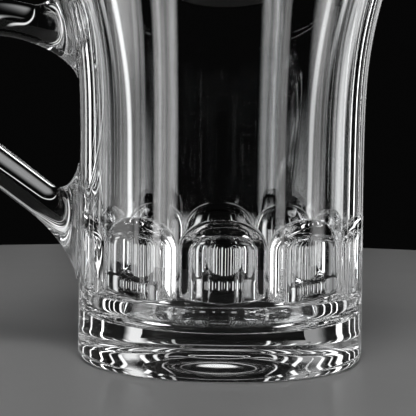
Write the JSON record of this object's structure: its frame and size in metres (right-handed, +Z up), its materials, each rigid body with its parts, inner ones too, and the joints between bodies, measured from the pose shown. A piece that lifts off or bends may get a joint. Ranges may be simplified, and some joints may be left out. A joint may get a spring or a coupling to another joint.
{
  "type": "glass mug",
  "caption": "Clear pressed-glass mug with a heavy foot, a ring of domed inner lobes low in the bowl, a flared rim and an applied ear-shaped handle.",
  "frame": {"origin": "middle of the mug's box, handle included, on the surface that the foot rests on", "axes": "+Z up along the bowl's axis, handle towards -X, Y across the handle"},
  "size_m": [0.1338, 0.098, 0.12],
  "materials": {
    "body_glass": "clear fire-polished pressed glass",
    "handle_glass": "clear fire-polished drawn glass"
  },
  "bodies": {
    "root": {"mug_body": "body_glass", "handle": "handle_glass"}
  },
  "joints": []
}
